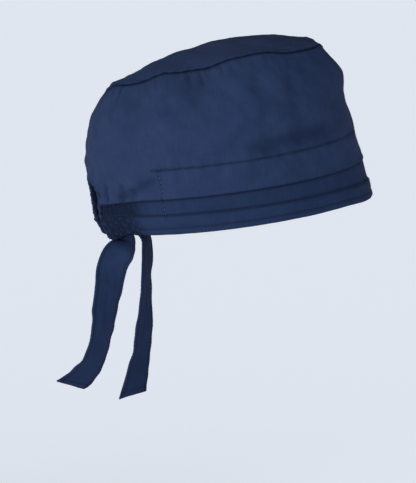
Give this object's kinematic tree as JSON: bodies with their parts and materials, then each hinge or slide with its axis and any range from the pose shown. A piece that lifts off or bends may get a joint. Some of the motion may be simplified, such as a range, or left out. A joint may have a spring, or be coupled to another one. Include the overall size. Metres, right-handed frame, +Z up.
{
  "type": "tie-back scrub cap",
  "caption": "Soft surgical cap with an oval crown, a deep side wall, a banded rim gathered at the back and two ties.",
  "frame": {"origin": "centre of the opening at the rim, where a head goes in", "axes": "+X towards the wearer's face, +Y towards the wearer's left, +Z up; the rim's plane is tipped 7.2 degrees front up"},
  "size_m": [0.2533, 0.1745, 0.2866],
  "materials": {
    "navy_poplin": "matte woven cotton blend, navy",
    "navy_binding": "the same cloth folded double, navy"
  },
  "bodies": {
    "root": {"crown_panel": "navy_poplin", "side_wall": "navy_poplin", "rim_band": "navy_binding", "right_tie": "navy_binding", "left_tie": "navy_binding"}
  },
  "joints": []
}
